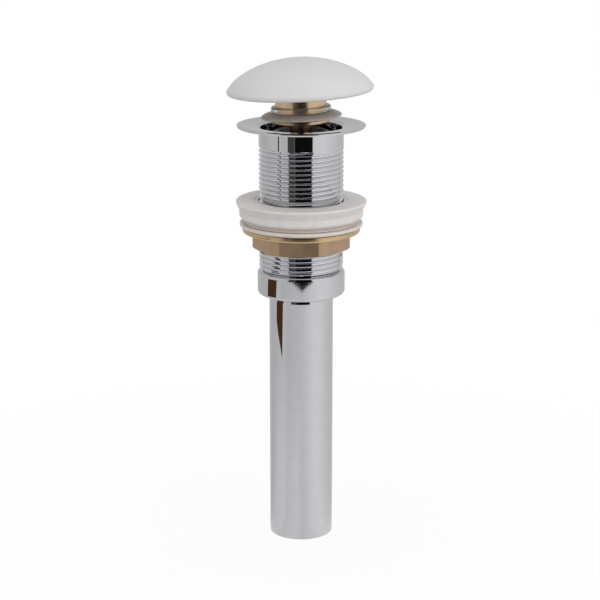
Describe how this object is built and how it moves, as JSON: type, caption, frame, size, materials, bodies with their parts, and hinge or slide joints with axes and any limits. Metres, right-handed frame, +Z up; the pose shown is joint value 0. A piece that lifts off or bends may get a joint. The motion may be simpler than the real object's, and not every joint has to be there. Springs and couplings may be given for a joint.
{
  "type": "pop up basin waste",
  "caption": "Push-to-close basin waste with a domed ceramic cap, chromed flange and threaded barrel, tapered gasket, brass back nut and long tail tube.",
  "frame": {"origin": "on the barrel's axis, in the plane of the flange's underside that seats on the basin", "axes": "+Z up out of the basin along the barrel, -Y towards the viewer of the picture, +X to the viewer's right"},
  "size_m": [0.0719, 0.072, 0.2449],
  "materials": {
    "chrome": "polished plating on brass",
    "brass": "machined",
    "satin_brass": "satin, as forged and turned",
    "ceramic": "matt glaze",
    "clear_silicone": "frosted, translucent",
    "milky_silicone": "milky, translucent",
    "black_rubber": "matt",
    "white_plastic": "smooth",
    "white_acetal": "moulded",
    "grey_acetal": "moulded",
    "spring_steel": "drawn wire"
  },
  "bodies": {
    "waste": {"waste_body": "chrome", "core_sleeve": "brass", "core_gland": "brass", "stem_wiper": "black_rubber", "core_stud": "brass", "core_washer": "white_plastic", "core_spring": "spring_steel"},
    "plunger": {"plunger": "brass", "index_crown": "grey_acetal", "rotor_clip": "spring_steel"},
    "rotor": {"index_rotor": "white_acetal"},
    "head": {"ceramic_cap": "ceramic", "cap_insert": "brass", "neck_ring": "clear_silicone", "head_seal": "clear_silicone", "seal_carrier": "brass"},
    "clamp": {"tapered_gasket": "milky_silicone", "slip_washer": "white_plastic"},
    "nut": {"back_nut": "satin_brass"},
    "tail": {"tail_tube": "chrome", "tail_seal": "black_rubber"},
    "collar": {"coupling_collar": "chrome"}
  },
  "joints": [
    {"name": "cap_press", "type": "slide", "parent": "waste", "child": "plunger", "axis": [0, 0, 1], "range_m": [-0.0135, 0], "stiffness_N_per_m": 300, "springref_m": 0.02, "deforming": ["core_spring"]},
    {"name": "cap_rock", "type": "hinge", "parent": "plunger", "child": "head", "pos_m": [0, 0, 0.0059], "axis": [0, 1, 0], "range_deg": [0, 2.5]},
    {"name": "index_turn", "type": "hinge", "parent": "plunger", "child": "rotor", "pos_m": [0, 0, -0.035], "axis": [0, 0, 1], "range_deg": [0, 60]},
    {"name": "nut_travel", "type": "slide", "parent": "waste", "child": "clamp", "axis": [0, 0, 1], "range_m": [-0.01039, 0.03579]},
    {"name": "nut_turn", "type": "hinge", "parent": "clamp", "child": "nut", "pos_m": [0, 0, -0.055], "axis": [0, 0, 1], "range_deg": [-1621, 5581]},
    {"name": "tail_drop", "type": "slide", "parent": "waste", "child": "tail", "axis": [0, 0, 1], "range_m": [-0.006, 0]},
    {"name": "collar_turn", "type": "hinge", "parent": "tail", "child": "collar", "pos_m": [0, 0, -0.078], "axis": [0, 0, 1], "range_deg": [-1441, 0]}
  ],
  "couplings": [
    {"joint": "cap_rock", "follows": "cap_press", "rad_per_m": -3.2318},
    {"joint": "index_turn", "follows": "cap_press", "rad_per_m": -77.562},
    {"joint": "nut_turn", "follows": "nut_travel", "rad_per_m": 2721.2},
    {"joint": "collar_turn", "follows": "tail_drop", "rad_per_m": 4188.8}
  ]
}
